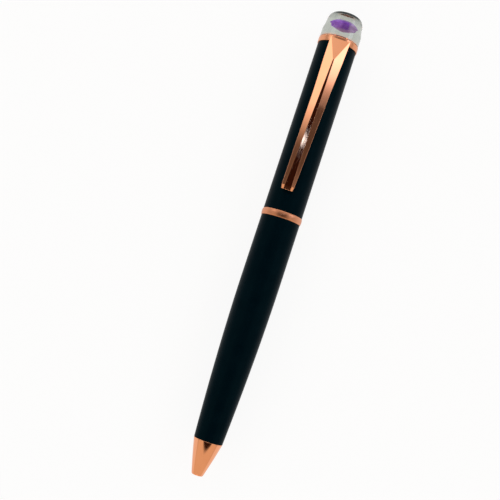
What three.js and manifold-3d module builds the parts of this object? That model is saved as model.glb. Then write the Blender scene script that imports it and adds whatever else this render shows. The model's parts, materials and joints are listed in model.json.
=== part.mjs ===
// A twist-action ballpoint pen with a cut stone in its clear finial, in millimetres.
// The pen lies along X with its nose at -X and its clip on top, and rests on a flat of its centre ring.
// Stations along the pen are measured from the mouth of the nose, and radii from the pen's axis.

import * as THREE from 'three';
import { ConvexGeometry } from 'three/addons/geometries/ConvexGeometry.js';
import { mergeVertices } from 'three/addons/utils/BufferGeometryUtils.js';
import Module from 'manifold-3d';

const wasm = await Module();
wasm.setup();

// Facets round the turned pieces
const outerSides = 32;
const innerSides = 24;
const smallSides = 16;

// Clearances
const pressGap = 0.05;
const slipGap = 0.1;
const runGap = 0.15;
const looseGap = 0.3;

// Lengths of the outer pieces, nose to dome
const noseLength = 10.1;
const ringLength = 2.1;
const upperBarrelLength = 51.35;
const bandLength = 2;
const domeLength = 8.3;

// Nose cone
const mouthRadius = 1.25;
const mouthRound = 0.1;
const lipLength = 0.5;
const lipRadius = 1.79;
const noseBaseRadius = 4.26;
const noseTipSlope = 0.285;
const noseBaseSlope = 0.225;
const spigotLength = 7;
const spigotRadius = 3.65;
const undercutLength = 0.5;
const undercutDepth = 0.2;

// Lower barrel
const lowerFrontRadius = 4.25;
const bellyRadius = 5.81;
const bellyDistance = 47.9;
const lowerFrontSlope = 0.058;
const lowerRearRadius = 5.8;
const barrelEdgeRound = 0.15;
const lowerWallStep = 0.3;
const bushSeatDepth = 0.2;

// Centre ring and upper barrel
const ringRadius = 6.05;
const ringCrown = 0.08;
const ringEdge = 0.45;
const upperBarrelRadius = 5.83;
const upperBoreRadius = 4.9;

// Coupling bush
const bushInsertLength = 14.4;
const neckLength = 11.3;
const neckWall = 0.8;
const frictionRingLength = 1.2;
const frictionRingDepth = 0.4;
const frictionRingDistance = 5;

// Refill
const refillLength = 98.1;
const refillAboveRing = 24.3;
const refillRadius = 2.95;
const refillWall = 0.5;
const tipRecess = 2.4;
const ballRadius = 0.5;
const tipWall = 0.1;
const tipConeLength = 2.3;
const tipNeckRadius = 1.12;
const tipNeckLength = 4.4;
const tipShankRadius = 1.5;
const shoulderDistance = 11.2;
const tipInsertLength = 3;
const plugFlangeLength = 2;
const plugInsertLength = 3;
const plugNotchWidth = 1;
const plugNotchDepth = 1.1;

// Return spring
const springSeatDistance = 4.7;
const springWireRadius = 0.2;
const springTurns = 7;
const springSeatWidth = 0.85;

// Twist mechanism
const refillTravel = 5;
const twistAngle = Math.PI;
const guideWall = 0.5;
const guideInsertLength = 7;
const camWall = 0.5;
const camEndLength = 8;
const lugRadius = 0.8;
const lugDistance = 2.5;
const plungerLength = 6;
const washerThickness = 0.3;
const retainingRingLength = 0.8;
const retainingRingDepth = 0.25;
const guideEndLength = 1.2;
const driveBushLength = 17;

// Finial
const capBushLength = 11;
const studRadius = 2;
const studLength = 10.6;
const bandRadius = 6.05;
const bandCrown = 0.08;
const bandEdge = 0.3;
const bandBoreRadius = 3.9;
const baseFlangeRadius = 4.9;
const baseFlangeLength = 0.5;
const domeBaseRadius = 5.95;
const domeBaseLength = 2.9;
const domeStep = 0.06;
const domeShoulderRadius = 5.44;
const domeShoulderDistance = 2.51;
const domeTopRadius = 3.7;

// Stone
const stoneRadius = 2.8;
const tableRadius = 1.7;
const stoneTopDistance = 2.35;
const crownHeight = 1.1;
const girdleHeight = 0.15;
const pavilionDepth = 1.9;
const stoneFolds = 8;

// Clip
const clipLength = 46.4;
const clipRootHalfWidth = 3;
const clipMiddleHalfWidth = 2.37;
const clipEndHalfWidth = 1.82;
const clipPlate = 0.5;
const clipRoof = 1.55;
const clipEndRoof = 0.45;
const clipRise = 0.3;
const clipBow = 0.4;
const hipLength = 6.65;
const clipSkew = 0.0297;
const clipRootShift = -0.09;
const legThickness = 0.8;
const legHalfWidth = 1.1;
const legDepth = 1;
const clipBumpDistance = 4.6;
const clipBumpRadius = 1.4;

// Stations that follow from the lengths
const refillEnd = tipRecess + refillLength;
const ringStart = refillEnd - refillAboveRing;
const ringEnd = ringStart + ringLength;
const upperStart = ringEnd + pressGap;
const upperEnd = upperStart + upperBarrelLength;
const bandEnd = upperEnd + bandLength;
const penLength = bandEnd + domeLength;
const axisHeight = ringRadius * Math.cos(Math.PI / outerSides);

// Stations and radii of the refill and what surrounds it
const shoulder = tipRecess + shoulderDistance;
const shoulderForward = shoulder - refillTravel;
const refillBoreRadius = refillRadius + runGap;
const springRadius = tipShankRadius + runGap + springWireRadius;
const springChamberRadius = mouthRadius + springSeatWidth + springWireRadius + pressGap;
const plugStart = refillEnd - plugFlangeLength;

// Stations and radii of the mechanism
const guideRadius = refillBoreRadius + guideWall;
const camBoreRadius = guideRadius + runGap;
const camRadius = camBoreRadius + camWall;
const lugStation = refillEnd + lugDistance;
const slotHalfWidth = lugRadius + slipGap;
const neckRadius = guideRadius + pressGap + neckWall;
const neckEnd = upperStart + neckLength;
const guideStart = ringStart - guideInsertLength;
const camStart = neckEnd + washerThickness + slipGap;
const camEnd = lugStation + slotHalfWidth + camEndLength;
const retainingRingStart = camEnd + slipGap;
const guideEnd = retainingRingStart + retainingRingLength + guideEndLength;
const bushBoreRadius = upperBoreRadius;

// The finial's stations
const capBushStart = upperEnd - capBushLength;
const flangeEnd = bandEnd + baseFlangeLength;
const tableStation = penLength - stoneTopDistance;
const girdleTop = tableStation - crownHeight;
const girdleBottom = girdleTop - girdleHeight;
const culetStation = girdleBottom - pavilionDepth;
const pocketRadius = stoneRadius + slipGap;

// Finishes
const finish = {
  roseGold: { color: 0xe0905f, roughness: 0.18, metalness: 1 },
  lacquer: { color: 0x06141a, roughness: 0.4, metalness: 0.2 },
  brass: { color: 0xc9a24b, roughness: 0.35, metalness: 1 },
  steel: { color: 0xb9bcc0, roughness: 0.3, metalness: 1 },
  nylon: { color: 0xd8d6cc, roughness: 0.6, metalness: 0 },
  rubber: { color: 0x1a1a1a, roughness: 0.8, metalness: 0 },
  acrylic: { color: 0xe6eae8, roughness: 0.05, metalness: 0, transparent: true, opacity: 0.35 },
  stone: { color: 0x6a2a9a, roughness: 0.05, metalness: 0 },
};

// Turns the lathe's upright axis to lie along X
const alongPen = new THREE.Matrix4().set(0, 1, 0, 0, 0, 0, 1, 0, 1, 0, 0, 0, 0, 0, 0, 1);

// Points of a quadratic curve after its first point
function curve(start, control, end, steps) {
  const path = new THREE.QuadraticBezierCurve(
    new THREE.Vector2(...start),
    new THREE.Vector2(...control),
    new THREE.Vector2(...end),
  );
  return path.getPoints(steps).slice(1).map((point) => [point.x, point.y]);
}

// Where two tangents of a profile meet
function tangentMeeting(start, startSlope, end, endSlope) {
  const run = end[1] - start[1] - endSlope * (end[0] - start[0]);
  const along = run / (startSlope - endSlope);
  return [start[0] + along, start[1] + startSlope * along];
}

// A turned piece from an outline of stations and radii
function turned(outline, sides) {
  const onAxis = outline[0][1] === 0 && outline.at(-1)[1] === 0;
  const loop = onAxis ? outline : [...outline, outline[0]];
  let area = 0;
  for (let i = 0; i < loop.length; i += 1) {
    const [station, radius] = loop[i];
    const [nextStation, nextRadius] = loop[(i + 1) % loop.length];
    area += station * nextRadius - nextStation * radius;
  }
  const ordered = area > 0 ? [...loop].reverse() : loop;
  const points = ordered.map(([station, radius]) => new THREE.Vector2(radius, station));
  const geometry = new THREE.LatheGeometry(points, sides, Math.PI / sides);
  return geometry.applyMatrix4(alongPen);
}

// A plain tube or rod between two stations
function tube(start, end, radius, bore, sides) {
  return turned([[start, bore], [start, radius], [end, radius], [end, bore]], sides);
}

// A closed body through rings of points, with flat ends
function loft(rings) {
  const count = rings[0].length;
  const positions = rings.flat().flatMap((point) => [point.x, point.y, point.z]);
  const index = [];
  for (let i = 0; i < rings.length - 1; i += 1) {
    for (let j = 0; j < count; j += 1) {
      const a = i * count + j;
      const b = i * count + ((j + 1) % count);
      index.push(a, b, b + count, a, b + count, a + count);
    }
  }
  const last = (rings.length - 1) * count;
  for (let j = 1; j < count - 1; j += 1) {
    index.push(0, j + 1, j, last, last + j, last + j + 1);
  }
  const geometry = new THREE.BufferGeometry();
  geometry.setAttribute('position', new THREE.Float32BufferAttribute(positions, 3));
  geometry.setIndex(signedVolume(positions, index) < 0 ? index.reverse() : index);
  geometry.computeVertexNormals();
  return geometry;
}

// The volume inside a mesh, negative if its faces point in
function signedVolume(positions, index) {
  const corner = (n) => new THREE.Vector3().fromArray(positions, 3 * n);
  let volume = 0;
  for (let i = 0; i < index.length; i += 3) {
    const cross = corner(index[i + 1]).cross(corner(index[i + 2]));
    volume += corner(index[i]).dot(cross) / 6;
  }
  return volume;
}

// A geometry as a solid that can be cut and joined
function toSolid(geometry) {
  const bare = new THREE.BufferGeometry();
  bare.setAttribute('position', geometry.getAttribute('position').clone());
  if (geometry.index) bare.setIndex(geometry.index.clone());
  const merged = mergeVertices(bare, 1e-4);
  const index = merged.index.array;
  const kept = [];
  for (let i = 0; i < index.length; i += 3) {
    const [a, b, c] = index.slice(i, i + 3);
    if (a !== b && b !== c && c !== a) kept.push(a, b, c);
  }
  const mesh = new wasm.Mesh({
    numProp: 3,
    vertProperties: new Float32Array(merged.getAttribute('position').array),
    triVerts: new Uint32Array(kept),
  });
  mesh.merge();
  return new wasm.Manifold(mesh);
}

function toGeometry(solid) {
  const mesh = solid.getMesh();
  const geometry = new THREE.BufferGeometry();
  geometry.setAttribute('position', new THREE.Float32BufferAttribute(mesh.vertProperties, 3));
  geometry.setIndex(new THREE.Uint32BufferAttribute(mesh.triVerts, 1));
  geometry.computeVertexNormals();
  return geometry;
}

function cut(geometry, cutters) {
  const result = cutters.reduce((solid, cutter) => solid.subtract(toSolid(cutter)), toSolid(geometry));
  return toGeometry(result);
}

function join(geometries) {
  const [first, ...rest] = geometries.map(toSolid);
  return toGeometry(rest.reduce((solid, other) => solid.add(other), first));
}

// A box between two corners
function block(low, high) {
  const size = high.map((value, i) => value - low[i]);
  const geometry = new THREE.BoxGeometry(...size);
  return geometry.translate(...low.map((value, i) => value + size[i] / 2));
}

function piece(name, geometry, look) {
  const mesh = new THREE.Mesh(geometry, new THREE.MeshStandardMaterial(look));
  mesh.name = name;
  return mesh;
}

// Nose cone with its mouth, spring chamber, refill bore and threaded spigot
function noseCone() {
  const mouthEdge = [0, mouthRadius + mouthRound];
  const lipEdge = [lipLength, lipRadius];
  const base = [noseLength, noseBaseRadius];
  const control = tangentMeeting(lipEdge, noseTipSlope, base, noseBaseSlope);
  const chamberEnd = shoulderForward - looseGap;
  const spigotEnd = noseLength + spigotLength;
  return turned([
    [mouthRound, mouthRadius],
    mouthEdge,
    ...curve(mouthEdge, [0, lipRadius - noseTipSlope * lipLength], lipEdge, 4),
    ...curve(lipEdge, control, base, 12),
    [noseLength, spigotRadius - undercutDepth],
    [noseLength + undercutLength, spigotRadius - undercutDepth],
    [noseLength + undercutLength, spigotRadius],
    [spigotEnd - looseGap, spigotRadius],
    [spigotEnd, spigotRadius - looseGap],
    [spigotEnd, refillBoreRadius],
    [chamberEnd, refillBoreRadius],
    [chamberEnd, springChamberRadius],
    [springSeatDistance, springChamberRadius],
    [springSeatDistance, mouthRadius],
  ], outerSides);
}

// Lower barrel, slender at the nose and fullest near its belly
function lowerBarrel() {
  const front = [noseLength + barrelEdgeRound, lowerFrontRadius];
  const belly = [noseLength + bellyDistance, bellyRadius];
  const rear = [ringStart - barrelEdgeRound, lowerRearRadius];
  const rise = tangentMeeting(front, lowerFrontSlope, belly, 0);
  const bushStart = ringStart - bushInsertLength;
  const frontBore = spigotRadius + slipGap;
  const bushSeat = [bushStart, bushBoreRadius - bushSeatDepth];
  const boreStep = [noseLength + spigotLength + looseGap, frontBore + lowerWallStep];
  return turned([
    [noseLength, frontBore],
    [noseLength, lowerFrontRadius - barrelEdgeRound],
    front,
    ...curve(front, rise, belly, 12),
    ...curve(belly, [(belly[0] + rear[0]) / 2, bellyRadius], rear, 4),
    [ringStart, lowerRearRadius - barrelEdgeRound],
    [ringStart, bushBoreRadius],
    [bushStart, bushBoreRadius],
    bushSeat,
    ...curve(bushSeat, [rise[0], bushSeat[1]], boreStep, 6),
    [boreStep[0], frontBore],
  ], outerSides);
}

// Coupling bush: pressed into the lower barrel, with a neck for the ring and the upper barrel
function couplingBush() {
  const insertRadius = bushBoreRadius - pressGap;
  const grooveStart = upperStart + frictionRingDistance;
  const grooveEnd = grooveStart + frictionRingLength + slipGap;
  const grooveRadius = neckRadius - frictionRingDepth;
  const guideSeat = guideRadius + pressGap;
  return turned([
    [ringStart - bushInsertLength + pressGap, refillBoreRadius + slipGap],
    [ringStart - bushInsertLength + pressGap, insertRadius],
    [ringStart, insertRadius],
    [ringStart, neckRadius],
    [grooveStart, neckRadius],
    [grooveStart, grooveRadius],
    [grooveEnd, grooveRadius],
    [grooveEnd, neckRadius],
    [neckEnd - looseGap, neckRadius],
    [neckEnd, neckRadius - looseGap],
    [neckEnd, guideSeat],
    [guideStart, guideSeat],
    [guideStart, refillBoreRadius + slipGap],
  ], outerSides);
}

// Centre ring, with a flat land between rounded edges
function centreRing() {
  return crownedRing(ringStart, ringEnd, ringRadius, ringCrown, ringEdge, neckRadius + pressGap);
}

// A ring whose outer face falls away towards both edges
function crownedRing(start, end, radius, crown, edge, bore) {
  const landStart = [start + edge, radius];
  const landEnd = [end - edge, radius];
  const low = [start, radius - crown];
  const high = [end, radius - crown];
  return turned([
    [start, bore],
    low,
    ...curve(low, [start + edge / 3, radius], landStart, 3),
    landEnd,
    ...curve(landEnd, [end - edge / 3, radius], high, 3),
    [end, bore],
  ], outerSides);
}

// Rubber ring that gives the twist its drag
function frictionRing() {
  const start = upperStart + frictionRingDistance + pressGap;
  const inner = neckRadius - frictionRingDepth + pressGap;
  const outer = upperBoreRadius - pressGap;
  const edge = frictionRingLength / 4;
  return turned([
    [start, inner + edge],
    [start, outer - edge],
    [start + edge, outer],
    [start + frictionRingLength - edge, outer],
    [start + frictionRingLength, outer - edge],
    [start + frictionRingLength, inner + edge],
    [start + frictionRingLength - edge, inner],
    [start + edge, inner],
  ], outerSides);
}

// Guide tube with two straight slots and a groove for its retaining ring
function guideTube() {
  const grooveEnd = retainingRingStart + retainingRingLength;
  const grooveRadius = guideRadius - retainingRingDepth;
  const body = turned([
    [guideStart + pressGap, refillBoreRadius],
    [guideStart + pressGap, guideRadius],
    [retainingRingStart, guideRadius],
    [retainingRingStart, grooveRadius],
    [grooveEnd + slipGap, grooveRadius],
    [grooveEnd + slipGap, guideRadius],
    [guideEnd, guideRadius],
    [guideEnd, refillBoreRadius],
  ], innerSides);
  const slotStart = lugStation - refillTravel - slotHalfWidth;
  const slotEnd = lugStation + slotHalfWidth;
  const reach = guideRadius + looseGap;
  return cut(body, [block([slotStart, -reach, -slotHalfWidth], [slotEnd, reach, slotHalfWidth])]);
}

// The space a lug sweeps in the cam sleeve, starting at an angle round the pen
function helicalSlot(startAngle) {
  const middle = (camBoreRadius + camRadius) / 2;
  const lead = refillTravel / twistAngle;
  const halfWidth = slotHalfWidth * Math.hypot(1, lead / middle);
  const overrun = slotHalfWidth / middle;
  const steps = 20;
  const rings = [];
  for (let i = 0; i <= steps; i += 1) {
    const turn = -overrun + ((twistAngle + 2 * overrun) * i) / steps;
    const station = lugStation - lead * turn;
    const angle = startAngle - turn;
    const inner = camBoreRadius - looseGap;
    const outer = camRadius + looseGap;
    const corners = [[-halfWidth, inner], [halfWidth, inner], [halfWidth, outer], [-halfWidth, outer]];
    rings.push(corners.map(([along, radius]) => (
      new THREE.Vector3(station + along, radius * Math.cos(angle), radius * Math.sin(angle))
    )));
  }
  return loft(rings);
}

// Cam sleeve with two helical slots, half a turn apart
function camSleeve() {
  const body = tube(camStart, camEnd, camRadius, camBoreRadius, outerSides);
  return cut(body, [helicalSlot(0), helicalSlot(Math.PI)]);
}

// Plunger that pushes the refill, with a lug on each side
function plunger() {
  const radius = refillBoreRadius - slipGap;
  const body = turned([
    [refillEnd, 0],
    [refillEnd, radius],
    [refillEnd + plungerLength - looseGap, radius],
    [refillEnd + plungerLength, radius - looseGap],
    [refillEnd + plungerLength, 0],
  ], innerSides);
  const lugs = new THREE.CylinderGeometry(lugRadius, lugRadius, 2 * (camRadius - slipGap), smallSides);
  lugs.translate(lugStation, 0, 0);
  return join([body, lugs]);
}

// Split spring ring in the guide tube's groove
function retainingRing() {
  const body = tube(
    retainingRingStart + pressGap,
    retainingRingStart + retainingRingLength,
    camRadius - slipGap,
    guideRadius - retainingRingDepth + pressGap,
    innerSides,
  );
  const station = retainingRingStart;
  const split = block([station - 1, -lugRadius, 0], [station + 2, lugRadius, camRadius + 1]);
  return cut(body, [split]);
}

// Return spring between the nose's seat and the refill's shoulder
function returnSpring() {
  const start = springSeatDistance + springWireRadius + pressGap;
  const end = shoulder - springWireRadius - pressGap;
  const stepsPerTurn = 8;
  const sides = 5;
  const steps = springTurns * stepsPerTurn;
  const rise = (end - start) / (springTurns * 2 * Math.PI);
  const rings = [];
  for (let i = 0; i <= steps; i += 1) {
    const angle = (i * 2 * Math.PI) / stepsPerTurn;
    const outward = new THREE.Vector3(0, Math.cos(angle), Math.sin(angle));
    const centre = outward.clone().multiplyScalar(springRadius).setX(start + rise * angle);
    const tangent = new THREE.Vector3(rise, -springRadius * outward.z, springRadius * outward.y).normalize();
    const sideways = new THREE.Vector3().crossVectors(tangent, outward);
    const ring = [];
    for (let j = 0; j < sides; j += 1) {
      const turn = (j * 2 * Math.PI) / sides;
      const point = centre.clone().addScaledVector(outward, springWireRadius * Math.cos(turn));
      ring.push(point.addScaledVector(sideways, springWireRadius * Math.sin(turn)));
    }
    rings.push(ring);
  }
  return loft(rings);
}

// Refill tube with a shoulder that the spring bears on
function refillTube() {
  const inner = refillRadius - refillWall;
  const hole = tipShankRadius + pressGap;
  return turned([
    [shoulder, hole],
    [shoulder, refillRadius],
    [plugStart, refillRadius],
    [plugStart, inner],
    [shoulder + refillWall, inner],
    [shoulder + refillWall, hole],
  ], innerSides);
}

// Writing tip with a socket for the ball
function refillTip() {
  const ballCentre = tipRecess + ballRadius;
  const socket = ballRadius + tipWall / 2;
  const coneEnd = ballCentre + tipConeLength;
  const neckStop = coneEnd + tipNeckLength;
  return turned([
    [ballCentre + socket, 0],
    [ballCentre + socket, socket],
    [ballCentre, socket],
    [ballCentre, socket + tipWall],
    [coneEnd, tipNeckRadius],
    [neckStop, tipNeckRadius],
    [neckStop + tipShankRadius - tipNeckRadius, tipShankRadius],
    [shoulder + tipInsertLength, tipShankRadius],
    [shoulder + tipInsertLength, 0],
  ], smallSides);
}

function tipBall() {
  const geometry = new THREE.SphereGeometry(ballRadius, 12, 8);
  return geometry.translate(tipRecess + ballRadius, 0, 0);
}

// Notched plug that closes the refill
function refillPlug() {
  const insert = refillRadius - refillWall - pressGap;
  const body = turned([
    [plugStart - plugInsertLength, 0],
    [plugStart - plugInsertLength, insert],
    [plugStart, insert],
    [plugStart, refillRadius],
    [refillEnd, refillRadius],
    [refillEnd, insert / 2],
    [plugStart, insert / 2],
    [plugStart, 0],
  ], innerSides);
  const reach = refillRadius + 1;
  const half = plugNotchWidth / 2;
  const start = refillEnd - plugNotchDepth;
  const end = refillEnd + 1;
  return cut(body, [
    block([start, -reach, -half], [end, reach, half]),
    block([start, -half, -reach], [end, half, reach]),
  ]);
}

// Upper barrel, a straight tube with rounded ends
function upperBarrel() {
  return turned([
    [upperStart, upperBoreRadius],
    [upperStart, upperBarrelRadius - barrelEdgeRound],
    [upperStart + barrelEdgeRound, upperBarrelRadius],
    [upperEnd - barrelEdgeRound, upperBarrelRadius],
    [upperEnd, upperBarrelRadius - barrelEdgeRound],
    [upperEnd, upperBoreRadius],
  ], outerSides);
}

// Bush that ties the cam sleeve to the upper barrel
function driveBush() {
  const end = camEnd;
  return tube(end - driveBushLength, end, upperBoreRadius - pressGap, camRadius + pressGap, outerSides);
}

// Threaded bush in the top of the upper barrel
function capBush() {
  const radius = upperBoreRadius - pressGap;
  const hole = studRadius + pressGap;
  return turned([
    [capBushStart, hole],
    [capBushStart, radius - looseGap],
    [capBushStart + looseGap, radius],
    [upperEnd, radius],
    [upperEnd, hole],
  ], outerSides);
}

// Top band with the notch that the clip's leg stands in
function clipBand() {
  const body = crownedRing(upperEnd, bandEnd, bandRadius, bandCrown, bandEdge, bandBoreRadius);
  const halfWidth = legHalfWidth + slipGap;
  const shift = clipRootShift;
  const floor = bandRadius - legDepth - runGap;
  const end = clipRootStation() + slipGap;
  const notch = block(
    [upperEnd - 1, -halfWidth + shift, floor],
    [end, halfWidth + shift, bandRadius + 1],
  );
  return cut(body, [notch]);
}

// Stud that draws the finial down onto the barrel
function finialStud() {
  const end = upperEnd + bandLength;
  return turned([
    [end - studLength, 0],
    [end - studLength, studRadius - looseGap],
    [end - studLength + looseGap, studRadius],
    [end, studRadius],
    [end, 0],
  ], innerSides);
}

// Metal base that the dome is bonded to
function finialBase() {
  const boss = bandBoreRadius - pressGap;
  const hole = studRadius + pressGap;
  return turned([
    [upperEnd, hole],
    [upperEnd, boss],
    [bandEnd, boss],
    [bandEnd, baseFlangeRadius],
    [flangeEnd, baseFlangeRadius],
    [flangeEnd, 0],
    [bandEnd + pressGap, 0],
    [bandEnd + pressGap, hole],
  ], outerSides);
}

// Clear dome with a pocket for the stone and a seat for its base
function gemDome() {
  const shoulderStation = penLength - domeShoulderDistance;
  const stepStation = bandEnd + domeBaseLength;
  const stepRadius = domeBaseRadius - domeStep;
  const topEdge = [penLength, domeTopRadius];
  return turned([
    [bandEnd, baseFlangeRadius + pressGap],
    [bandEnd, domeBaseRadius],
    [stepStation, domeBaseRadius],
    [stepStation, stepRadius],
    ...curve([stepStation, stepRadius], [shoulderStation - 1.4, stepRadius - 0.3],
      [shoulderStation, domeShoulderRadius], 5),
    ...curve([shoulderStation, domeShoulderRadius], [penLength - 0.21, domeShoulderRadius - 0.28], topEdge, 7),
    [penLength, 0],
    [tableStation + slipGap, 0],
    [tableStation + slipGap, tableRadius + slipGap],
    [girdleTop + slipGap, pocketRadius],
    [flangeEnd, pocketRadius],
    [flangeEnd, baseFlangeRadius + pressGap],
  ], outerSides);
}

// Clear plug under the stone, dished to its pavilion
function gemPlug() {
  const radius = pocketRadius - pressGap;
  const dishRadius = stoneRadius * 0.75;
  const slope = pavilionDepth / stoneRadius;
  const dishBottom = culetStation - slipGap;
  return turned([
    [flangeEnd, 0],
    [flangeEnd, radius],
    [dishBottom + dishRadius * slope, radius],
    [dishBottom + dishRadius * slope, dishRadius],
    [dishBottom, 0],
  ], innerSides);
}

// Round brilliant-cut stone, table towards the top of the dome
function gemstone() {
  const fold = (2 * Math.PI) / stoneFolds;
  const half = fold / 2;
  const points = [new THREE.Vector3(culetStation, 0, 0)];
  const ring = (station, radius, count, turn) => {
    for (let i = 0; i < count; i += 1) {
      const angle = turn + (i * 2 * Math.PI) / count;
      points.push(new THREE.Vector3(station, radius * Math.cos(angle), radius * Math.sin(angle)));
    }
  };
  const starRadius = (tableRadius + stoneRadius) / 2;
  const crownSlope = crownHeight / (stoneRadius - tableRadius);
  const starStation = tableStation - (starRadius * Math.cos(half) - tableRadius) * crownSlope;
  const lowerRadius = stoneRadius / 4;
  const pavilionSlope = pavilionDepth / stoneRadius;
  const lowerStation = girdleBottom - (stoneRadius - lowerRadius * Math.cos(half)) * pavilionSlope;
  ring(tableStation, tableRadius, stoneFolds, 0);
  ring(starStation, starRadius, stoneFolds, half);
  ring(girdleTop, stoneRadius, 2 * stoneFolds, 0);
  ring(girdleBottom, stoneRadius, 2 * stoneFolds, 0);
  ring(lowerStation, lowerRadius, stoneFolds, half);
  return new ConvexGeometry(points);
}

// The clip's cross-section at a fraction of its length, from the root at 0 to the free end at 1
function clipSection(along, roofShare, flatHalfWidth, widthLoss) {
  const early = THREE.MathUtils.smoothstep(along, 0, 0.45);
  const toMiddle = THREE.MathUtils.lerp(clipRootHalfWidth, clipMiddleHalfWidth, early);
  const late = THREE.MathUtils.clamp((along - 0.45) / 0.55, 0, 1);
  const halfWidth = THREE.MathUtils.lerp(toMiddle, clipEndHalfWidth, late) - widthLoss;
  const under = bandRadius + clipRise / 2 + clipBow * Math.sin(Math.PI * along);
  const edge = under + clipPlate;
  const roof = THREE.MathUtils.lerp(clipRoof, clipEndRoof, along) * roofShare;
  const flat = Math.min(flatHalfWidth, halfWidth - slipGap);
  const station = clipRootStation() - clipLength * along;
  const corners = [
    [-halfWidth, under],
    [halfWidth, under],
    [halfWidth, edge],
    [flat, edge + roof],
    [-flat, edge + roof],
    [-halfWidth, edge],
  ];
  return corners.map(([across, height]) => new THREE.Vector3(station, across, height));
}

function clipRootStation() {
  return upperEnd + runGap + legThickness;
}

// Stamped clip: a hipped roof over a plate, a leg at the root and a bump under the free end
function clip() {
  const root = clipRootStation();
  const hipShare = hipLength / clipLength;
  const steps = 12;
  const rings = [clipSection(0, 0.02, clipRootHalfWidth - looseGap, 0)];
  for (let i = 0; i <= steps; i += 1) {
    const along = hipShare + ((0.975 - hipShare) * i) / steps;
    const spread = (along - hipShare) / (1 - hipShare);
    rings.push(clipSection(along, 1, 0.12 + 0.75 * spread + 0.75 * spread ** 8, 0));
  }
  rings.push(clipSection(1, 0.1, clipEndHalfWidth - 0.45, 0.2));
  const arm = loft(rings);
  const legLow = bandRadius - legDepth;
  const leg = block([root - legThickness, -legHalfWidth, legLow], [root, legHalfWidth, bandRadius + clipRise]);
  const bump = new THREE.SphereGeometry(clipBumpRadius, 12, 8);
  const bumpStation = root - clipLength + clipBumpDistance;
  bump.translate(bumpStation, 0, upperBarrelRadius + slipGap + clipBumpRadius);
  const lid = block(
    [bumpStation - 3, -3, bandRadius + clipRise + clipPlate],
    [bumpStation + 3, 3, bandRadius + 2 * clipBumpRadius + 2],
  );
  const geometry = join([arm, leg, cut(bump, [lid])]);
  geometry.translate(-root, 0, 0);
  geometry.rotateZ(-clipSkew);
  return geometry.translate(root, clipRootShift, 0);
}

function lowerHalf() {
  const group = new THREE.Group();
  group.add(
    piece('nose_cone', noseCone(), finish.roseGold),
    piece('lower_barrel', lowerBarrel(), finish.lacquer),
    piece('coupling_bush', couplingBush(), finish.brass),
    piece('centre_ring', centreRing(), finish.roseGold),
    piece('friction_ring', frictionRing(), finish.rubber),
    piece('guide_tube', guideTube(), finish.brass),
    piece('thrust_washer', tube(neckEnd, neckEnd + washerThickness, neckRadius - looseGap,
      guideRadius + pressGap, innerSides), finish.nylon),
    piece('retaining_ring', retainingRing(), finish.steel),
    piece('return_spring', returnSpring(), finish.steel),
  );
  return group;
}

function upperHalf() {
  const group = new THREE.Group();
  group.add(
    piece('upper_barrel', upperBarrel(), finish.lacquer),
    piece('cam_sleeve', camSleeve(), finish.nylon),
    piece('drive_bush', driveBush(), finish.brass),
    piece('cap_bush', capBush(), finish.brass),
    piece('clip_band', clipBand(), finish.roseGold),
    piece('finial_stud', finialStud(), finish.steel),
    piece('finial_base', finialBase(), finish.roseGold),
    piece('gem_plug', gemPlug(), finish.acrylic),
    piece('gemstone', gemstone(), finish.stone),
    piece('gem_dome', gemDome(), finish.acrylic),
    piece('clip', clip(), finish.roseGold),
  );
  return group;
}

function refill() {
  const group = new THREE.Group();
  group.add(
    piece('refill_tube', refillTube(), finish.steel),
    piece('refill_tip', refillTip(), finish.brass),
    piece('tip_ball', tipBall(), finish.steel),
    piece('refill_plug', refillPlug(), finish.nylon),
    piece('plunger', plunger(), finish.nylon),
  );
  return group;
}

const pen = new THREE.Group();
pen.add(lowerHalf(), upperHalf(), refill());
pen.position.set(-penLength / 2, 0, axisHeight);

export default pen;
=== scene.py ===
"""Looks of a twist-action ballpoint pen with a cut stone in its clear finial.

The pen lies along X with its nose at -X and its clip on top. Outlines are written in millimetres, as
stations from the mouth of the nose and radii from the pen's axis, and turned into metres where a mesh
is made.
"""

import json
import math

import bmesh
import bpy
from mathutils import Matrix, Vector


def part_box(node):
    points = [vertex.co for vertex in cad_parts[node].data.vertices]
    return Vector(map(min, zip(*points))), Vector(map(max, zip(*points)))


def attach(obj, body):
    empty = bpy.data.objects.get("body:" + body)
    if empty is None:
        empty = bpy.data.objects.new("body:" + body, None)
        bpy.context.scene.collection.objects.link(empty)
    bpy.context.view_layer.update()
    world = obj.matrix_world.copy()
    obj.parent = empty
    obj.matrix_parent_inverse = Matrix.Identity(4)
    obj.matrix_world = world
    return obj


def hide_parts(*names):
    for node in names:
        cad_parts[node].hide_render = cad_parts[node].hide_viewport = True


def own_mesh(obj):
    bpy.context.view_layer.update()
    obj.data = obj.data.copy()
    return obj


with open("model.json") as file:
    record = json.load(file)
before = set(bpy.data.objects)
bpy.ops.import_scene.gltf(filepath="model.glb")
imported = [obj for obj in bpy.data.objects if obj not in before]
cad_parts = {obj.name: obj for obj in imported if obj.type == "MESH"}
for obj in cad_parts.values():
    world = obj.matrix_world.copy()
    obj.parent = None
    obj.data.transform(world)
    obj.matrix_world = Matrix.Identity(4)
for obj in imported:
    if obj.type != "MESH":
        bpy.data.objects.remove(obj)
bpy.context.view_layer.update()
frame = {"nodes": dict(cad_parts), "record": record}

MM = 0.001
TURN_SIDES = 128
# How close two corners are before they are joined, in metres
JOIN_DISTANCE = 1e-7


# Stations and radii read from the frame


def low_x(node):
    return (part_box(node)[0][0] - mouth_x) / MM


def high_x(node):
    return (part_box(node)[1][0] - mouth_x) / MM


def half_width(node):
    low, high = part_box(node)
    return (high[1] - low[1]) / 2 / MM


mouth_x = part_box("nose_cone")[0][0]
axis_z = (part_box("centre_ring")[0][2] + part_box("centre_ring")[1][2]) / 2

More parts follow.
